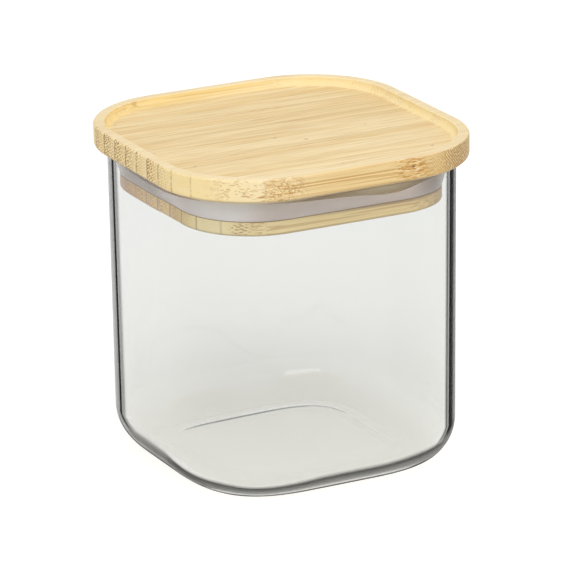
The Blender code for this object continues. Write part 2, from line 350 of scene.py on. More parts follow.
def bevel_outline(item, height, half, centre, radius, steps, spread=TOLERANCE):
    """Round off the edges along one rounded square at one height."""
    shape = start_edit(item, "EDGE")
    for edge in shape.edges:
        level = all(abs(v.co.z - height) < TOLERANCE for v in edge.verts)
        on_outline = all(abs(outline_half(v.co, centre) - half) < spread for v in edge.verts)
        if level and on_outline:
            edge.select = True
    shape.select_flush_mode()
    bmesh.update_edit_mesh(item.data)
    bpy.ops.mesh.bevel(offset_type="OFFSET", offset=radius, segments=steps, profile=0.5,
                       affect="EDGES", clamp_overlap=False)
    end_edit()


def select_flat_face(item, height):
    """Select the largest level face at one height, in edit mode."""
    shape = start_edit(item, "FACE")
    level = []
    for face in shape.faces:
        if all(abs(v.co.z - height) < TOLERANCE for v in face.verts):
            level.append(face)
    largest = max(level, key=lambda face: face.calc_area())
    largest.select = True
    shape.faces.active = largest
    bmesh.update_edit_mesh(item.data)


def sink_pocket(item, height, margin, depth):
    """Sink the middle of the top face straight down, leaving a margin round it."""
    select_flat_face(item, height)
    bpy.ops.mesh.inset(thickness=margin, use_even_offset=True)
    bpy.ops.mesh.extrude_region_move(TRANSFORM_OT_translate={"value": (0, 0, -depth)})
    end_edit()


def apply_boolean(item, operation, other):
    """Join or cut an object with another, and delete the other."""
    make_active(item)
    modifier = item.modifiers.new(operation, "BOOLEAN")
    modifier.operation = operation
    modifier.solver = "EXACT"
    modifier.object = other
    bpy.ops.object.modifier_apply(modifier=modifier.name)
    bpy.data.objects.remove(other, do_unlink=True)


def smooth_by_angle(item):
    """Smooth shading, with sharp edges where faces turn steeply."""
    make_active(item)
    bpy.ops.object.shade_smooth_by_angle(angle=SMOOTH_ANGLE)


def weight_normals(item):
    """Keep wide flat faces flat beside their round edges."""
    make_active(item)
    modifier = item.modifiers.new("Weighted Normal", "WEIGHTED_NORMAL")
    modifier.keep_sharp = True
    modifier.weight = 100
    bpy.ops.object.modifier_apply(modifier=modifier.name)


# Glass body

def make_glass_body(material):
    """The moulded glass: floor, wide round foot, even wall, rounded lip and a push-up base."""
    body = add_block("glass_body", GLASS_HALF, 0.0, GLASS_HEIGHT)
    bevel_uprights(body, GLASS_CORNER, GLASS_CORNER_POWER, GLASS_CORNER_STEPS)
    sink_pocket(body, GLASS_HEIGHT, GLASS_WALL, GLASS_HEIGHT - GLASS_FLOOR)
    inner_radius = GLASS_FOOT_RADIUS - GLASS_WALL
    for height, half, radius, steps in (
            (GLASS_FLOOR, GLASS_INSIDE, inner_radius, FOOT_STEPS),
            (0.0, GLASS_HALF, GLASS_FOOT_RADIUS, FOOT_STEPS),
            (GLASS_HEIGHT, GLASS_HALF, GLASS_LIP_RADIUS, EDGE_STEPS),
            (GLASS_HEIGHT, GLASS_INSIDE, GLASS_LIP_RADIUS, EDGE_STEPS)):
        bevel_outline(body, height, half, GLASS_CENTRE, radius, steps, GLASS_SPREAD)
    select_flat_face(body, 0.0)
    bpy.ops.mesh.inset(thickness=FOOT_RING_WIDTH, use_even_offset=True)
    bpy.ops.mesh.inset(thickness=PUSH_UP_SLOPE, depth=-PUSH_UP_RISE, use_even_offset=True)
    end_edit()
    for vertex in body.data.vertices:
        depth = 1 - vertex.co.z / GLASS_HEIGHT
        scale = 1 - depth * GLASS_DRAFT / GLASS_HALF
        vertex.co.x *= scale
        vertex.co.y *= scale
    body.data.materials.append(material)
    make_active(body)
    bpy.ops.object.shade_smooth()
    weight_normals(body)
    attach(body, "jar")
    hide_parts("glass_jar")


# Bamboo lid

def make_milled_lid():
    """The whole lid as one milled shape: board with a coved tray, neck and flange."""
    board = add_block("milled_lid", LID_HALF, LID_UNDERSIDE, LID_TOP)
    bevel_uprights(board, LID_CORNER)
    sink_pocket(board, LID_TOP, TRAY_RIM, TRAY_DEPTH)
    tray_half = LID_HALF - TRAY_RIM
    bevel_outline(board, LID_TOP - TRAY_DEPTH, tray_half, LID_CENTRE, TRAY_COVE, COVE_STEPS)
    bevel_outline(board, LID_TOP, tray_half, LID_CENTRE, TRAY_RIM_EDGE, EDGE_STEPS)
    bevel_outline(board, LID_TOP, LID_HALF, LID_CENTRE, LID_TOP_EDGE, EDGE_STEPS)
    bevel_outline(board, LID_UNDERSIDE, LID_HALF, LID_CENTRE, LID_BOTTOM_EDGE, EDGE_STEPS)
    overlap = 1.0 * MM
    neck = add_block("neck", NECK_HALF, FLANGE_TOP - overlap, LID_UNDERSIDE + overlap)
    bevel_uprights(neck, NECK_HALF - PLUG_CENTRE)
    flange = add_block("flange", FLANGE_HALF, PLUG_BOTTOM, FLANGE_TOP)
    bevel_uprights(flange, FLANGE_HALF - PLUG_CENTRE)
    bevel_outline(flange, PLUG_BOTTOM, FLANGE_HALF, PLUG_CENTRE, FLANGE_EDGE, EDGE_STEPS)
    apply_boolean(board, "UNION", neck)
    apply_boolean(board, "UNION", flange)
    deselect_all()
    bpy.ops.mesh.primitive_uv_sphere_add(segments=24, ring_count=12, radius=1.0,
                                         location=CHIP_PLACE, scale=CHIP_SIZE)
    apply_boolean(board, "DIFFERENCE", bpy.context.object)
    return board


def cut_at(place, direction):
    """Cut the mesh that is being edited with a plane, and keep the side that direction points to."""
    bpy.ops.mesh.select_all(action="SELECT")
    bpy.ops.mesh.bisect(plane_co=place, plane_no=direction, use_fill=True, threshold=1e-6,
                        clear_inner=True)


def paint_finish(strip, finish):
    """Store a strip's own tone and grain, for the bamboo finish to read."""
    left, right, redness, dots, grain = finish
    layer = strip.data.attributes.new("strip_finish", "FLOAT_COLOR", "POINT")
    for vertex, mark in zip(strip.data.vertices, layer.data):
        share = (vertex.co.x + LID_HALF) / (2 * LID_HALF)
        mark.color = (left + (right - left) * share, redness, dots, grain)


def add_strip(name, node, milled, index, cuts, material):
    """One strip of the milled lid, between its glue lines and any further cuts."""
    strip = bpy.data.objects.new(name, milled.data.copy())
    strip.data.name = name
    bpy.context.scene.collection.objects.link(strip)
    middle = (index - (STRIP_COUNT - 1) / 2) * STRIP_PITCH
    start_edit(strip, "FACE")
    if index > 0:
        cut_at((0, middle - STRIP_PITCH / 2, 0), (0, 1, 0))
    if index < STRIP_COUNT - 1:
        cut_at((0, middle + STRIP_PITCH / 2, 0), (0, -1, 0))
    for place, direction in cuts:
        cut_at(place, direction)
    end_edit()
    paint_finish(strip, STRIP_FINISHES[index])
    strip.data.materials.append(material)
    smooth_by_angle(strip)
    weight_normals(strip)
    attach(strip, "lid")
    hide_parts(node)


def make_bamboo_strips(material):
    """The strips that the lid is glued from, cut out of the milled lid at its glue lines."""
    milled = make_milled_lid()
    in_groove = (0, 0, (FLANGE_TOP + LID_UNDERSIDE) / 2)
    for index in range(STRIP_COUNT):
        number = f"{index + 1:02d}"
        divided = index + 1 in DIVIDED_STRIPS
        above = [(in_groove, (0, 0, 1))] if divided else []
        add_strip(f"bamboo_strip_{number}", f"lid_strip_{number}", milled, index, above, material)
        if divided:
            below = [(in_groove, (0, 0, -1))]
            add_strip(f"bamboo_sliver_{number}", f"lid_sliver_{number}", milled, index, below, material)
    bpy.data.objects.remove(milled, do_unlink=True)


# Seal

def poly_curve(name, points, flat):
    """A closed curve of straight spans."""
    curve = bpy.data.curves.new(name, "CURVE")
    curve.dimensions = "2D" if flat else "3D"
    curve.fill_mode = "NONE" if flat else "FULL"
    spline = curve.splines.new("POLY")
    spline.points.add(len(points) - 1)
    for knot, point in zip(spline.points, points):
        knot.co = (*point, 1.0)
    spline.use_cyclic_u = True
    item = bpy.data.objects.new(name, curve)
    bpy.context.scene.collection.objects.link(item)
    return item


def seal_path_points():
    """Points along the foot of the groove, one loop round the plug."""
    radius = SEAL_FOOT_HALF - PLUG_CENTRE
    turn = Matrix.Rotation(math.radians(90), 3, "Z")
    quarter_points = []
    for step in range(CORNER_STEPS + 1):
        angle = math.radians(90 * step / CORNER_STEPS)
        x = PLUG_CENTRE + radius * math.cos(angle)
        y = PLUG_CENTRE + radius * math.sin(angle)
        quarter_points.append(Vector((x, y, 0.0)))
    for step in range(1, SIDE_STEPS):
        x = PLUG_CENTRE - 2 * PLUG_CENTRE * step / SIDE_STEPS
        quarter_points.append(Vector((x, SEAL_FOOT_HALF, 0.0)))
    points = []
    for _ in range(4):
        points.extend(quarter_points)
        quarter_points = [turn @ point for point in quarter_points]
    return points


def lip_flare():
    """How far the lip spreads out beyond its foot, at the middle of a side."""
    return SEAL_HALF - SEAL_FOOT_HALF - WEB_REACH


def seal_section_points():
    """The seal's section: x outwards from the groove, y upwards from the flange."""
    flare = lip_flare()
    outside = []
    inside = []
    for step in range(LIP_STEPS + 1):
        share = step / LIP_STEPS
        x = WEB_REACH + flare * share * (1 + LIP_CURL - LIP_CURL * share)
        outside.append((x, LIP_HEIGHT * share, 0.0))
        thickness = LIP_ROOT + (LIP_TIP - LIP_ROOT) * share
        inside.append((x - thickness, WEB_THICKNESS + (LIP_HEIGHT - WEB_THICKNESS) * share, 0.0))
    strap = [
        (STRAP_THICKNESS, WEB_THICKNESS, 0.0),
        (STRAP_THICKNESS, STRAP_HEIGHT, 0.0),
        (0.0, STRAP_HEIGHT, 0.0),
        (0.0, 0.0, 0.0),
    ]
    return outside + inside[::-1] + strap


def outline_reach(place, half, corner, power, inset):
    """How far out a rounded square lies from the axis, in the direction of a place."""
    distance = math.hypot(place.x, place.y)
    across = abs(place.x) / distance
    along = abs(place.y) / distance
    centre = half - corner
    low = half / 2
    high = half * 2
    for _ in range(REACH_STEPS):
        reach = (low + high) / 2
        over_x = max(reach * across - centre, 0.0) / corner
        over_y = max(reach * along - centre, 0.0) / corner
        if over_x ** power + over_y ** power > 1:
            high = reach
        else:
            low = reach
    slope_x = over_x ** (power - 1)
    slope_y = over_y ** (power - 1)
    turned = (slope_x * across + slope_y * along) / math.hypot(slope_x, slope_y)
    return reach - inset / turned


def lip_dip(place):
    """How far the glass holds the lip down, in the direction of a place."""
    azimuth = math.degrees(math.atan2(place.y, place.x)) % 360
    dip = 0.0
    for middle, depth, width in LIP_DIPS:
        away = (azimuth - middle + 180) % 360 - 180
        dip += depth * math.exp(-0.5 * (away / width) ** 2)
    return dip


def shape_lip(seal):
    """Fit the lip to the glass all the way round, and let its top edge dip where it is pressed most."""
    web_half = SEAL_FOOT_HALF + WEB_REACH
    for vertex in seal.data.vertices:
        place = vertex.co
        from_foot = outline_half(place, PLUG_CENTRE) - SEAL_FOOT_HALF
        if from_foot > STRAP_THICKNESS + TOLERANCE:
            rise = (place.z - SEAL_FOOT) / LIP_HEIGHT
            place.z -= lip_dip(place) * rise
        beyond_web = from_foot - WEB_REACH
        if beyond_web < TOLERANCE:
            continue
        share = beyond_web / lip_flare()
        foot = outline_reach(place, web_half, web_half - PLUG_CENTRE, 2.0, 0.0)
        tip = outline_reach(place, GLASS_HALF, GLASS_CORNER, GLASS_CORNER_POWER,
                            GLASS_WALL + SEAL_CLEARANCE)
        scale = (foot + (tip - foot) * share) / math.hypot(place.x, place.y)
        place.x *= scale
        place.y *= scale


def mark_strap(seal):
    """Mark the strap, where the wood behind it shows through the silicone."""
    layer = seal.data.attributes.new("over_wood", "FLOAT", "POINT")
    for vertex, mark in zip(seal.data.vertices, layer.data):
        from_foot = outline_half(vertex.co, PLUG_CENTRE) - SEAL_FOOT_HALF
        mark.value = 1.0 if from_foot < STRAP_THICKNESS + TOLERANCE else 0.0


def make_seal(material):
    """The silicone seal: its section swept round the plug, the lip pressed unevenly by the glass."""
    section = poly_curve("seal_section", seal_section_points(), flat=True)
    path = poly_curve("silicone_seal", seal_path_points(), flat=False)
    path.location.z = SEAL_FOOT
    path.data.twist_mode = "Z_UP"
    path.data.bevel_mode = "OBJECT"
    path.data.bevel_object = section
    make_active(path)
    bpy.ops.object.convert(target="MESH")
    seal = bpy.context.object
    bpy.ops.object.transform_apply(location=True, rotation=True, scale=True)
    bpy.data.objects.remove(section, do_unlink=True)
    start_edit(seal, "VERT")
    bpy.ops.mesh.select_all(action="SELECT")
    bpy.ops.mesh.remove_doubles(threshold=TOLERANCE)
    bpy.ops.mesh.normals_make_consistent(inside=False)
    end_edit()
    mark_strap(seal)
    shape_lip(seal)
    seal.data.materials.clear()
    seal.data.materials.append(material)
    smooth_by_angle(seal)
    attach(seal, "lid")
    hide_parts("seal_ring")


# Finishes

def new_finish(name):
    """A material with an empty node tree but for its output."""
    material = bpy.data.materials.new(name)
    material.use_nodes = True
    tree = material.node_tree
    tree.nodes.clear()
    output = tree.nodes.new("ShaderNodeOutputMaterial")
    return material, tree, output


def put(tree, kind, inputs=None, **settings):
    """Add a node. Its inputs are given as values or as the sockets that feed them."""
    node = tree.nodes.new(kind)
    for name, value in settings.items():
        setattr(node, name, value)
    for name, value in (inputs or {}).items():
        if isinstance(value, bpy.types.NodeSocket):
            tree.links.new(value, node.inputs[name])
        else:
            node.inputs[name].default_value = value
    return node


def maths(tree, operation, first, second=0.0, clamp=False):
    """One sum on numbers."""
    inputs = {0: first, 1: second}
    return put(tree, "ShaderNodeMath", inputs, operation=operation, use_clamp=clamp).outputs[0]


def vector_maths(tree, operation, first, second):
    """One sum on vectors."""
    node = put(tree, "ShaderNodeVectorMath", {0: first, 1: second}, operation=operation)
    return node.outputs["Value" if operation in ("LENGTH", "DOT_PRODUCT") else "Vector"]


def part_z(tree, vector):
    """The upward part of a vector."""
    return put(tree, "ShaderNodeSeparateXYZ", {0: vector}).outputs["Z"]


def fade(tree, value, start, end, low=0.0, high=1.0):
    """Go smoothly from low to high as a value goes from start to end."""
    inputs = {"Value": value, "From Min": start, "From Max": end, "To Min": low, "To Max": high}
    return put(tree, "ShaderNodeMapRange", inputs, interpolation_type="SMOOTHSTEP").outputs["Result"]


def tint(tree, share, below, above, blend="MIX"):
    """Lay one colour over another."""
    node = put(tree, "ShaderNodeMix", {"Factor": share}, data_type="RGBA", blend_type=blend)
    for socket, value in ((node.inputs[6], below), (node.inputs[7], above)):
        if isinstance(value, bpy.types.NodeSocket):
            tree.links.new(value, socket)
        else:
            socket.default_value = (*value, 1.0)
    return node.outputs[2]


def noise(tree, place, stretch, detail=2.0, roughness=0.5):
    """Soft noise, with its size along each axis given by stretch."""
    scaled = vector_maths(tree, "MULTIPLY", place, stretch)
    inputs = {"Vector": scaled, "Scale": 1.0, "Detail": detail, "Roughness": roughness}
    return put(tree, "ShaderNodeTexNoise", inputs).outputs["Fac"]


def patch(tree, place, centre, reach):
    """A soft spot round a place: 1 in its middle, 0 at its reach."""
    offset = vector_maths(tree, "SUBTRACT", place, centre)
    scaled = vector_maths(tree, "DIVIDE", offset, reach)
    distance = vector_maths(tree, "LENGTH", scaled, (0, 0, 0))
    return fade(tree, distance, 1.0, 0.25)


def slanting_dots(tree, across, upward, slant, randomness, edge, core):
    """Dots in slanting rows on a face: 1 at the core of each, 0 past its edge."""
    flat = put(tree, "ShaderNodeCombineXYZ", {"X": across, "Y": upward}).outputs[0]
    turned = put(tree, "ShaderNodeVectorRotate", {"Vector": flat, "Angle": slant}, rotation_type="Z_AXIS")
    inputs = {"Vector": turned.outputs["Vector"], "Scale": 1.0, "Randomness": randomness}
    cells = put(tree, "ShaderNodeTexVoronoi", inputs, voronoi_dimensions="2D")
    return fade(tree, cells.outputs["Distance"], edge, core)


def strip_place(tree, place):
    """How far across its strip a place lies, from 0 to 1."""
    y = put(tree, "ShaderNodeSeparateXYZ", {0: place}).outputs["Y"]
    strips = maths(tree, "MULTIPLY_ADD", y, MM / STRIP_PITCH)
    strips.node.inputs[2].default_value = STRIP_COUNT / 2
    return maths(tree, "FRACT", strips)


def millimetres(tree):
    """The place on the object, in millimetres."""
    metres = put(tree, "ShaderNodeTexCoord").outputs["Object"]
    return vector_maths(tree, "MULTIPLY", metres, (1000, 1000, 1000))


def strongest(tree, spots):
    """The largest of several shares."""
    largest = spots[0]
    for spot in spots[1:]:
        largest = maths(tree, "MAXIMUM", largest, spot)
    return largest


def read_bamboo(tree):
    """What every layer of the bamboo reads: the strip's own finish, the place and the way it faces."""
    at = SimpleNamespace()
    at.place = millimetres(tree)
    finish = put(tree, "ShaderNodeAttribute", attribute_name="strip_finish")
    parts = put(tree, "ShaderNodeSeparateColor", {"Color": finish.outputs["Color"]})
    at.paleness, at.redness, at.dots = parts.outputs
    own = vector_maths(tree, "MULTIPLY", finish.outputs["Alpha"], OWN_GRAIN)
    at.grain = vector_maths(tree, "ADD", at.place, own)
    at.surface = put(tree, "ShaderNodeNewGeometry").outputs["Normal"]
    sides = vector_maths(tree, "ABSOLUTE", at.surface, (0, 0, 0))
    at.end_share, side_share, at.level_share = put(tree, "ShaderNodeSeparateXYZ", {0: sides}).outputs
    at.on_end = fade(tree, at.end_share, 0.30, 0.85)
    at.on_side = fade(tree, side_share, 0.50, 0.95)
    at.upright = fade(tree, at.level_share, 0.98, 0.80)
    at.x_mm, at.y_mm, at.height_mm = put(tree, "ShaderNodeSeparateXYZ", {0: at.place}).outputs
    at.below_board = fade(tree, at.height_mm, LID_UNDERSIDE / MM + 0.5, LID_UNDERSIDE / MM - 1.0)
    at.across = strip_place(tree, at.place)
    at.broad = noise(tree, at.grain, (0.012, 0.22, 0.22), 2.0)
    at.streak = noise(tree, at.grain, (0.030, 1.15, 1.15), 3.0, 0.65)
    at.hairs = noise(tree, at.grain, (0.030, 3.6, 3.6), 2.0)
    inward = vector_maths(tree, "DOT_PRODUCT", at.surface, at.place)
    inward = maths(tree, "SUBTRACT", maths(tree, "MULTIPLY", part_z(tree, at.surface), at.height_mm), inward)
    at.on_wall = maths(tree, "MULTIPLY", fade(tree, inward, 4.0, 30.0),
                       fade(tree, at.height_mm, 108.0, 111.0))
    return at


def ground_colour(tree, at):
    """The wood's colour, with long soft streaks, and paler towards the -X end of its Y faces."""
    pale = maths(tree, "ADD", at.paleness, fade(tree, at.broad, 0.25, 0.75, -0.45, 0.45), clamp=True)
    colour = tint(tree, pale, (0.800, 0.575, 0.255), (0.895, 0.715, 0.400))
    colour = tint(tree, maths(tree, "MULTIPLY", at.on_end, 0.80), colour, (0.995, 0.795, 0.390))
    lengthways = maths(tree, "SUBTRACT", 1.0, maths(tree, "MULTIPLY", at.on_end, 0.75))
    fine_streak = noise(tree, at.grain, (0.055, 2.6, 2.6), 2.0, 0.6)
    for share, tone in (
            (fade(tree, at.streak, 0.53, 0.70, 0.0, 0.60), (0.62, 0.395, 0.150)),
            (fade(tree, fine_streak, 0.55, 0.66, 0.0, 0.55), (0.62, 0.40, 0.16)),
            (fade(tree, at.hairs, 0.57, 0.66, 0.0, 0.55), (0.56, 0.38, 0.150))):
        colour = tint(tree, maths(tree, "MULTIPLY", share, lengthways), colour, tone)
    light_streak = noise(tree, at.grain, (0.022, 0.80, 0.80), 3.0, 0.6)
    colour = tint(tree, fade(tree, light_streak, 0.53, 0.70, 0.0, 0.65), colour, (0.960, 0.825, 0.545))
    colour = tint(tree, maths(tree, "MULTIPLY", at.on_side, 0.50), colour, (0.940, 0.755, 0.395))
    # Paler towards the -X end of the Y faces, near the front corner.
    left_side = maths(tree, "MULTIPLY", at.on_side, fade(tree, at.x_mm, -8.0, -26.0, 0.0, 0.40))
    colour = tint(tree, left_side, colour, (0.985, 0.850, 0.560))
    side_line = fade(tree, noise(tree, at.grain, (0.014, 0.9, 2.3), 1.0), 0.555, 0.605)
    side_line = maths(tree, "MULTIPLY", side_line, at.on_side)
    return tint(tree, maths(tree, "MULTIPLY", side_line, 0.85), colour, (0.52, 0.27, 0.070))


def strip_fibre_ends(tree, at):
    """Dots in slanting rows on the end grain, crowded towards one side of each strip."""
    spaced = vector_maths(tree, "MULTIPLY", at.grain, (1, 0.80, 1.30))
    spread = put(tree, "ShaderNodeSeparateXYZ", {0: spaced})
    bundle = slanting_dots(tree, spread.outputs["Y"], spread.outputs["Z"], FIBRE_SLANT, 0.50, 0.45, 0.24)
    from_middle = maths(tree, "SUBTRACT", at.across, 0.5)
    crowded_side = maths(tree, "MULTIPLY", maths(tree, "SIGN", at.dots), from_middle)
    crowding = fade(tree, crowded_side, -0.5, 0.5, 0.30, 1.10)
    darkness = maths(tree, "MULTIPLY", maths(tree, "ABSOLUTE", at.dots), crowding)
    centre, reach, strength = DOTTED_PATCH
    in_patch = patch(tree, at.place, centre, reach)
    darkness = maths(tree, "MAXIMUM", darkness, maths(tree, "MULTIPLY", in_patch, strength))
    darkness = maths(tree, "MULTIPLY", darkness, fade(tree, at.below_board, 0.0, 1.0, 1.0, 1.8))
    at_end = maths(tree, "MAXIMUM", fade(tree, at.end_share, 0.12, 0.70, 0.20, 1.25), in_patch)
    return maths(tree, "MULTIPLY", maths(tree, "MULTIPLY", bundle, darkness), at_end, clamp=True)


def add_fibre_ends(tree, at, colour):
    """Fibre ends on the end grain, and in even rows round one corner."""
    showing = strip_fibre_ends(tree, at)
    along = maths(tree, "ADD", at.x_mm, at.y_mm)
    upward = maths(tree, "MULTIPLY", at.height_mm, 1.1)
    even_bundle = slanting_dots(tree, along, upward, FIBRE_SLANT, 0.30, 0.60, 0.30)
    round_corner = maths(tree, "MULTIPLY", patch(tree, at.place, *EVEN_DOTS),
                         fade(tree, at.level_share, 0.95, 0.50, 0.15, 1.0))
    colour = tint(tree, maths(tree, "MULTIPLY", round_corner, 0.6), colour, (0.890, 0.680, 0.310))
    showing = maths(tree, "MULTIPLY", showing, maths(tree, "SUBTRACT", 1.0, round_corner))
    showing = maths(tree, "MAXIMUM", showing, maths(tree, "MULTIPLY", even_bundle, round_corner))
    return tint(tree, showing, colour, (0.36, 0.180, 0.050)), showing


def add_arcs(tree, at, colour):
    """Small dark arcs with pale wood inside them."""
    inputs = {"Vector": vector_maths(tree, "MULTIPLY", at.place, (0.80, 0.80, 1.20)), "Scale": 1.0}
    outlines = put(tree, "ShaderNodeTexVoronoi", inputs, feature="DISTANCE_TO_EDGE").outputs["Distance"]
    here = patch(tree, at.place, *ARCS)
    broken = fade(tree, noise(tree, at.place, (0.5, 0.5, 0.9), 1.0), 0.42, 0.58)
    arc = maths(tree, "MULTIPLY", fade(tree, outlines, 0.16, 0.05), broken)
    colour = tint(tree, maths(tree, "MULTIPLY", arc, here), colour, (0.36, 0.175, 0.045))
    inside_arc = maths(tree, "MULTIPLY", fade(tree, outlines, 0.20, 0.30), here)
    return tint(tree, inside_arc, colour, (1.0, 0.90, 0.60))


def add_knuckles(tree, at, colour):
    """Redder strips, knuckles with swirling grain, and specks."""
    spots = []
    for centre, reach, strength in KNUCKLES:
        spots.append(maths(tree, "MULTIPLY", patch(tree, at.place, centre, reach), strength))
    knots = strongest(tree, spots)
    swirl_place = vector_maths(tree, "MULTIPLY", at.grain, (0.28, 1.7, 1.7))
    inputs = {"Vector": swirl_place, "Scale": 1.0, "Detail": 2.0, "Distortion": 0.9}
    swirl = put(tree, "ShaderNodeTexNoise", inputs).outputs["Fac"]
    red = maths(tree, "MULTIPLY_ADD", at.redness, 0.50)
    tree.links.new(maths(tree, "MULTIPLY", knots, 0.35), red.node.inputs[2])
    colour = tint(tree, red, colour, (0.78, 0.50, 0.17))
    swirled = maths(tree, "MULTIPLY", knots, fade(tree, swirl, 0.51, 0.57))
    colour = tint(tree, swirled, colour, (0.50, 0.220, 0.038))
    bright_grain = maths(tree, "MULTIPLY", knots, fade(tree, swirl, 0.45, 0.38))
    colour = tint(tree, maths(tree, "MULTIPLY", bright_grain, 0.6), colour, (0.97, 0.86, 0.60))
    spots = []
    for centre, size in SPECKS:
        spots.append(patch(tree, at.place, centre, (2.2 * size, size, 1.5 * size)))
    specks = strongest(tree, spots)
    return tint(tree, maths(tree, "MULTIPLY", specks, 0.8), colour, (0.22, 0.12, 0.05)), swirled


def paint_tray_light_and_shade(tree, at, colour):
    """The tray with painted light and shade: walls paler towards +X, more saturated orange towards -X, and a
    painted highlight on the rim.
    """
    # Painted light: the tray's walls paler towards +X.
    painted_light_wall = maths(tree, "MULTIPLY", at.on_wall, fade(tree, at.x_mm, -20.0, 30.0, 0.0, 0.75))
    colour = tint(tree, painted_light_wall, colour, (0.97, 0.81, 0.47))
    # Painted shade and bounce light: the walls more saturated orange towards -X, in soft clouds.
    painted_bounce_shade = maths(tree, "MULTIPLY", at.on_wall, fade(tree, at.x_mm, 0.0, 40.0, 1.0, 0.35))
    painted_bounce_shade = maths(tree, "MULTIPLY", painted_bounce_shade, fade(tree, at.broad, 0.35, 0.65, 0.25, 0.85))
    colour = tint(tree, painted_bounce_shade, colour, (0.96, 0.71, 0.25))
    # Painted highlight along the rim's top.
    painted_rim_highlight = fade(tree, at.height_mm, LID_TOP / MM - 0.5, LID_TOP / MM - 0.1, 0.0, 0.40)
    return tint(tree, painted_rim_highlight, colour, (0.955, 0.820, 0.550))


def paint_plug_light_and_shade(tree, at, colour, showing):
    """The plug with painted light and shade: painted light over most of it and at its front-left corner,
    warm painted shade below the board that is more orange along its left face and darker at its far left and
    front right, painted warm bounce light on its downward faces, and painted shade lines in its corners.
    """
    left_face = fade(tree, at.x_mm, -20.0, -40.0)
    towards_back = maths(tree, "MULTIPLY", fade(tree, at.y_mm, -38.0, 10.0), left_face)
    # Painted light: paler over the plug, except towards the back of its left face.
    painted_light_share = maths(tree, "MULTIPLY", at.below_board, maths(tree, "SUBTRACT", 1.0, towards_back))
    colour = tint(tree, maths(tree, "MULTIPLY", painted_light_share, 0.35), colour, (0.98, 0.83, 0.54))
    # Painted light on the plug's front-left corner, away from the fibre ends.
    painted_light_corner = maths(tree, "MULTIPLY", patch(tree, at.place, *PLUG_PAINTED_LIGHT),
                        maths(tree, "SUBTRACT", 1.0, showing))
    colour = tint(tree, maths(tree, "MULTIPLY", painted_light_corner, 0.90), colour, (1.0, 0.88, 0.60))
    # Painted shade below the board: warm all over, orange towards the back of the left face, darker at the
    # far left and at the front right.
    painted_plug_shade = tint(tree, towards_back, (0.98, 0.95, 0.80), (1.0, 0.77, 0.25))
    painted_shade_far_left = maths(tree, "MULTIPLY", fade(tree, at.y_mm, 6.0, 24.0), left_face)
    painted_plug_shade = tint(tree, painted_shade_far_left, painted_plug_shade, (0.68, 0.54, 0.45), "MULTIPLY")
    painted_shade_front_right = maths(tree, "MULTIPLY", fade(tree, at.x_mm, 24.0, 42.0), fade(tree, at.y_mm, -18.0, -36.0))
    painted_plug_shade = tint(tree, painted_shade_front_right, painted_plug_shade, (0.49, 0.38, 0.20), "MULTIPLY")
    colour = tint(tree, at.below_board, colour, painted_plug_shade, "MULTIPLY")
    # Painted warm bounce light on the faces turned down, near the board.
    painted_warm_bounce = maths(tree, "MULTIPLY", fade(tree, part_z(tree, at.surface), -0.5, -0.9),
                      fade(tree, at.height_mm, PLUG_BOTTOM / MM + 7.0, LID_UNDERSIDE / MM - 2.0))
    colour = tint(tree, painted_warm_bounce, colour, (1.0, 0.84, 0.52))
    # Painted shade lines on upright faces at the board's underside and at the plug's bottom.
    for level in (LID_UNDERSIDE / MM, PLUG_BOTTOM / MM):
        painted_shade_line = maths(tree, "MULTIPLY", fade(tree, at.height_mm, level + 1.1, level + 0.3),
                      fade(tree, at.height_mm, level - 0.6, level - 0.1))
        painted_shade_line = maths(tree, "MULTIPLY", painted_shade_line, at.upright)
        colour = tint(tree, maths(tree, "MULTIPLY", painted_shade_line, 0.6), colour, (0.36, 0.235, 0.100))
    return colour


def add_glue_lines_and_painted_shadow(tree, at, colour):
    """Glue lines, clearest on the end grain, and a painted shadow line along the flange's top edge, under
    the seal's lip.
    """
    from_glue = maths(tree, "MULTIPLY", maths(tree, "PINGPONG", at.across, 0.5), STRIP_PITCH / MM)
    from_glue = maths(tree, "MULTIPLY", from_glue, fade(tree, at.on_end, 0.0, 1.0, 1.0, 0.6))
    line_depth = fade(tree, noise(tree, at.place, (0.05, 0.13, 0.9), 1.0), 0.35, 0.60, 0.40, 1.0)
    line_depth = maths(tree, "MAXIMUM", line_depth, maths(tree, "MULTIPLY", at.below_board, 0.9))
    line = maths(tree, "MULTIPLY", fade(tree, from_glue, 0.28, 0.08), line_depth)
    for share in (
            fade(tree, at.y_mm, -46.0, -14.0, 0.12, 1.0),
            fade(tree, at.end_share, 0.1, 0.8, 0.22, 0.95),
            maths(tree, "SUBTRACT", 1.0, at.on_wall)):
        line = maths(tree, "MULTIPLY", line, share)
    colour = tint(tree, line, colour, (0.30, 0.155, 0.06))
    # Painted shadow of the seal's lip along the flange's top edge.
    painted_shadow_under_lip = fade(tree, at.height_mm, FLANGE_TOP / MM - 1.0, FLANGE_TOP / MM - 0.2)
    for share in (at.below_board, at.upright, fade(tree, at.x_mm, -25.0, 10.0, 0.0, 0.70)):
        painted_shadow_under_lip = maths(tree, "MULTIPLY", painted_shadow_under_lip, share)
    return tint(tree, painted_shadow_under_lip, colour, (0.34, 0.20, 0.10)), line


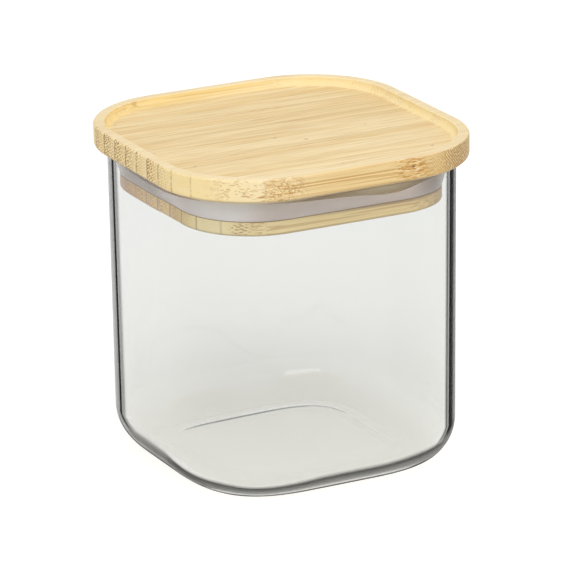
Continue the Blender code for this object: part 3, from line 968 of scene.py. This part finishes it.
def bamboo_finish():
    """Pressed bamboo: long fibres, dark fibre ends on the end grain, glue lines, knuckles and specks."""
    material, tree, output = new_finish("bamboo_finish")
    at = read_bamboo(tree)
    colour = ground_colour(tree, at)
    colour, showing = add_fibre_ends(tree, at, colour)
    colour = add_arcs(tree, at, colour)
    colour, swirled = add_knuckles(tree, at, colour)
    colour = paint_tray_light_and_shade(tree, at, colour)
    colour = paint_plug_light_and_shade(tree, at, colour, showing)
    colour, line = add_glue_lines_and_painted_shadow(tree, at, colour)
    height = maths(tree, "MULTIPLY_ADD", at.streak, 0.6)
    tree.links.new(maths(tree, "MULTIPLY", at.hairs, 0.4), height.node.inputs[2])
    for mark, depth in ((showing, 0.7), (line, 0.8), (swirled, 0.8)):
        height = maths(tree, "SUBTRACT", height, maths(tree, "MULTIPLY", mark, depth))
    relief = put(tree, "ShaderNodeBump", {"Strength": 0.45, "Distance": 0.08 * MM, "Height": height})
    dullness = fade(tree, at.streak, 0.2, 0.8, 0.44, 0.58)
    inputs = {"Base Color": colour, "Roughness": dullness, "IOR": 1.45, "Normal": relief.outputs["Normal"]}
    shader = put(tree, "ShaderNodeBsdfPrincipled", inputs)
    tree.links.new(shader.outputs[0], output.inputs["Surface"])
    return material


def silicone_finish():
    """Translucent grey silicone, warm where the wood shows through the strap, with a nick and specks,
    painted shade on its left, front and right corner and on the strap's left, and painted light on its
    front-left corner.
    """
    material, tree, output = new_finish("silicone_finish")
    place = millimetres(tree)
    strap = put(tree, "ShaderNodeAttribute", attribute_name="over_wood").outputs["Fac"]
    cloud = noise(tree, place, (0.12, 0.12, 0.3), 2.0)
    lip_colour = tint(tree, cloud, (0.660, 0.590, 0.600), (0.800, 0.725, 0.725))
    x_mm, y_mm, _ = put(tree, "ShaderNodeSeparateXYZ", {0: place}).outputs
    # Painted shade on the lip's left side.
    painted_shade_left = maths(tree, "MULTIPLY", fade(tree, x_mm, -38.0, -48.0), fade(tree, y_mm, -22.0, -2.0))
    lip_colour = tint(tree, painted_shade_left, lip_colour, (0.34, 0.28, 0.23), "MULTIPLY")
    # Painted light on the lip's front-left corner.
    painted_light_front_corner = patch(tree, place, *SEAL_PAINTED_LIGHT)
    lip_colour = tint(tree, painted_light_front_corner, lip_colour, (0.92, 0.84, 0.84))
    # Painted shade on the lip's front.
    painted_shade_front = maths(tree, "MULTIPLY", fade(tree, x_mm, -42.0, -24.0), fade(tree, y_mm, -38.0, -46.0))
    lip_colour = tint(tree, painted_shade_front, lip_colour, (0.89, 0.85, 0.78), "MULTIPLY")
    # Painted shade on the lip's right corner.
    painted_shade_right_corner = patch(tree, place, *SEAL_PAINTED_SHADE)
    lip_colour = tint(tree, painted_shade_right_corner, lip_colour, (0.42, 0.38, 0.36), "MULTIPLY")
    fibre = noise(tree, place, (0.04, 0.04, 2.2), 2.0)
    strap_colour = tint(tree, fade(tree, fibre, 0.42, 0.58), (1.0, 0.81, 0.57), (1.0, 0.90, 0.68))
    # Painted shade on the strap's left side.
    strap_colour = tint(tree, fade(tree, x_mm, -30.0, -40.0), strap_colour, (0.85, 0.55, 0.25), "MULTIPLY")
    colour = tint(tree, strap, lip_colour, strap_colour)
    for centre, reach in SEAL_SPECKS:
        colour = tint(tree, patch(tree, place, centre, reach), colour, (0.10, 0.08, 0.08))
    skin = noise(tree, place, (0.9, 0.9, 0.9), 2.0)
    height = maths(tree, "MULTIPLY_ADD", patch(tree, place, *SEAL_NICK), 2.5)
    tree.links.new(maths(tree, "MULTIPLY", skin, 0.5), height.node.inputs[2])
    relief = put(tree, "ShaderNodeBump", {"Strength": 0.35, "Distance": 0.2 * MM, "Height": height})
    gloss = fade(tree, skin, 0.3, 0.7, 0.30, 0.42)
    inputs = {
        "Base Color": colour,
        "Roughness": gloss,
        "IOR": 1.41,
        "Subsurface Weight": fade(tree, strap, 0.0, 1.0, 0.85, 0.0),
        "Subsurface Radius": (1.0, 0.9, 0.85),
        "Subsurface Scale": 2.0 * MM,
        "Normal": relief.outputs["Normal"],
    }
    shader = put(tree, "ShaderNodeBsdfPrincipled", inputs)
    tree.links.new(shader.outputs[0], output.inputs["Surface"])
    return material


def edge_bands(tree, facing, bands):
    """Grey levels laid out over how much a surface turns away."""
    ramp = put(tree, "ShaderNodeValToRGB", {"Fac": facing})
    stops = ramp.color_ramp.elements
    stops[0].position = bands[0][0]
    stops[1].position = bands[-1][0]
    for place, _ in bands[1:-1]:
        stops.new(place)
    for stop, (_, depth) in zip(stops, bands):
        stop.color = (depth, depth, depth, 1.0)
    return ramp.outputs["Color"]


def foot_share(tree, facing, normal, on_right):
    """Where the foot's bands lie: 0 on the glass's outline. They narrow towards the X faces."""
    towards = maths(tree, "SUBTRACT", 1.0, facing)
    level = vector_maths(tree, "NORMALIZE", vector_maths(tree, "MULTIPLY", normal, (1, 1, 0)), (0, 0, 0))
    turned_to = put(tree, "ShaderNodeSeparateXYZ", {0: vector_maths(tree, "ABSOLUTE", level, (0, 0, 0))})
    width_left = fade(tree, turned_to.outputs["Y"], 0.75, 0.00, *FOOT_WIDTHS_LEFT)
    width_right = fade(tree, turned_to.outputs["X"], 0.00, 0.90, *FOOT_WIDTHS_RIGHT)
    gap = maths(tree, "MULTIPLY", maths(tree, "SUBTRACT", width_right, width_left), on_right)
    return maths(tree, "DIVIDE", towards, maths(tree, "ADD", width_left, gap))


def painted_edge_reflection(tree):
    """Painted reflection of dark surroundings: how dark the glass is made where its outside turns away, in
    bands at the corners and round the foot.
    """
    metres = put(tree, "ShaderNodeTexCoord").outputs["Object"]
    sides = put(tree, "ShaderNodeSeparateXYZ", {0: vector_maths(tree, "ABSOLUTE", metres, (0, 0, 0))})
    nearer = maths(tree, "MINIMUM", sides.outputs["X"], sides.outputs["Y"])
    at_corner = fade(tree, nearer, *BANDS_IN)
    above_foot = fade(tree, sides.outputs["Z"], *BANDS_UP)
    surface = put(tree, "ShaderNodeNewGeometry")
    normal = surface.outputs["Normal"]
    facing = put(tree, "ShaderNodeLayerWeight", {"Blend": 0.5}).outputs["Facing"]
    rightwards = put(tree, "ShaderNodeSeparateXYZ", {0: metres}).outputs["X"]
    on_right = fade(tree, rightwards, *BANDS_LEFT_TO_RIGHT)
    bands = tint(tree, on_right, edge_bands(tree, facing, EDGE_BANDS_LEFT),
                 edge_bands(tree, facing, EDGE_BANDS_RIGHT))
    bands = maths(tree, "MULTIPLY", maths(tree, "MULTIPLY", bands, at_corner), above_foot)
    foot = edge_bands(tree, foot_share(tree, facing, normal, on_right), FOOT_BANDS)
    foot = maths(tree, "MULTIPLY", foot, fade(tree, sides.outputs["Z"], *FOOT_BANDS_END))
    edge = maths(tree, "MAXIMUM", bands, foot)
    outward = vector_maths(tree, "DOT_PRODUCT", normal, vector_maths(tree, "MULTIPLY", metres, (1, 1, 0)))
    on_outside = maths(tree, "GREATER_THAN", outward, OUTSIDE)
    seen_from_front = maths(tree, "SUBTRACT", 1.0, surface.outputs["Backfacing"])
    return maths(tree, "MULTIPLY", maths(tree, "MULTIPLY", edge, on_outside), seen_from_front)


def glass_finish():
    """Clear soda glass, green-grey through its depth, with painted dark reflections where the corners turn
    away.
    """
    material, tree, output = new_finish("clear_glass_finish")
    inputs = {"Base Color": GLASS_COLOUR, "Roughness": 0.0, "IOR": 1.5, "Transmission Weight": 1.0}
    body = put(tree, "ShaderNodeBsdfPrincipled", inputs)
    # The painted dark reflection, laid over the glass where its outside turns away.
    dark = put(tree, "ShaderNodeBsdfTransparent", {"Color": PAINTED_REFLECTION_DARK})
    glass = put(tree, "ShaderNodeMixShader", {0: painted_edge_reflection(tree), 1: body.outputs[0], 2: dark.outputs[0]})
    clear = put(tree, "ShaderNodeBsdfTransparent", {"Color": SHADOW_COLOUR})
    path = put(tree, "ShaderNodeLightPath")
    lit = put(tree, "ShaderNodeMixShader", {0: path.outputs["Is Shadow Ray"], 1: glass.outputs[0],
                                            2: clear.outputs[0]})
    soft = put(tree, "ShaderNodeMixShader", {0: path.outputs["Is Diffuse Ray"], 1: lit.outputs[0],
                                             2: clear.outputs[0]})
    tree.links.new(soft.outputs[0], output.inputs["Surface"])
    depth = put(tree, "ShaderNodeVolumeAbsorption", {"Color": DEPTH_COLOUR, "Density": DEPTH_DENSITY})
    tree.links.new(depth.outputs[0], output.inputs["Volume"])
    return material


def floor_finish():
    """White floor: it reaches plain white for the eye, and keeps the jar's soft shadow."""
    material, tree, output = new_finish("floor_white")
    path = put(tree, "ShaderNodeLightPath")
    in_glass = maths(tree, "MAXIMUM", path.outputs["Is Glossy Ray"], path.outputs["Is Transmission Ray"])
    strength = maths(tree, "MULTIPLY_ADD", in_glass, FLOOR_GLOW_IN_GLASS)
    seen = maths(tree, "MULTIPLY", path.outputs["Is Camera Ray"], FLOOR_GLOW)
    tree.links.new(seen, strength.node.inputs[2])
    paint = put(tree, "ShaderNodeBsdfDiffuse", {"Color": (0.80, 0.80, 0.80, 1.0)})
    glow = put(tree, "ShaderNodeEmission", {"Color": (1, 1, 1, 1), "Strength": strength})
    both = put(tree, "ShaderNodeAddShader", {0: paint.outputs[0], 1: glow.outputs[0]})
    tree.links.new(both.outputs[0], output.inputs["Surface"])
    return material


# Stage

def make_camera():
    """The camera at the reference view."""
    back = Vector((math.sin(AZIMUTH) * math.cos(ELEVATION),
                   -math.cos(AZIMUTH) * math.cos(ELEVATION),
                   math.sin(ELEVATION)))
    right = Vector((math.cos(AZIMUTH), math.sin(AZIMUTH), 0.0))
    up = back.cross(right)
    place = Vector((0, 0, AIM_HEIGHT)) + right * AIM_RIGHT + up * AIM_UP + back * DISTANCE
    tilted_right = right * math.cos(ROLL) + up * math.sin(ROLL)
    tilted_up = up * math.cos(ROLL) - right * math.sin(ROLL)
    turn = Matrix((tilted_right, tilted_up, back)).transposed().to_4x4()
    data = bpy.data.cameras.new("camera")
    data.sensor_width = SENSOR_WIDTH
    data.lens = FOCAL_PIXELS * SENSOR_WIDTH / VIEW_SIZE
    data.clip_start = 0.05
    data.clip_end = 50.0
    camera = bpy.data.objects.new("camera", data)
    bpy.context.scene.collection.objects.link(camera)
    camera.matrix_world = Matrix.Translation(place) @ turn
    bpy.context.scene.camera = camera


def make_floor():
    """A plain white floor."""
    deselect_all()
    bpy.ops.mesh.primitive_plane_add(size=FLOOR_SIZE, location=(0, 0, 0))
    floor = bpy.context.object
    floor.name = "floor"
    floor.data.materials.append(floor_finish())


def make_world():
    """Even white surroundings: plain white for the eye and in the glass, a little less as light."""
    world = bpy.data.worlds.new("studio")
    bpy.context.scene.world = world
    world.use_nodes = True
    tree = world.node_tree
    background = tree.nodes["Background"]
    background.inputs["Color"].default_value = (1, 1, 1, 1)
    path = put(tree, "ShaderNodeLightPath")
    seen = maths(tree, "MAXIMUM", path.outputs["Is Camera Ray"], path.outputs["Is Glossy Ray"])
    seen = maths(tree, "MAXIMUM", seen, path.outputs["Is Transmission Ray"])
    tree.links.new(fade(tree, seen, 0.0, 1.0, WORLD_LIGHT, 1.0), background.inputs["Strength"])


def add_lamp(name, place, size, power):
    """A soft square lamp aimed at the jar."""
    data = bpy.data.lights.new(name, "AREA")
    data.shape = "SQUARE"
    data.size = size
    data.energy = power
    lamp = bpy.data.objects.new(name, data)
    bpy.context.scene.collection.objects.link(lamp)
    aim = Vector(LAMP_AIM) - Vector(place)
    lamp.matrix_world = Matrix.Translation(place) @ aim.to_track_quat("-Z", "Y").to_matrix().to_4x4()


make_glass_body(glass_finish())
make_bamboo_strips(bamboo_finish())
make_seal(silicone_finish())
make_camera()
make_floor()
make_world()
add_lamp("key_lamp", KEY_PLACE, KEY_SIZE, KEY_POWER)
bpy.context.scene.view_settings.view_transform = "Standard"
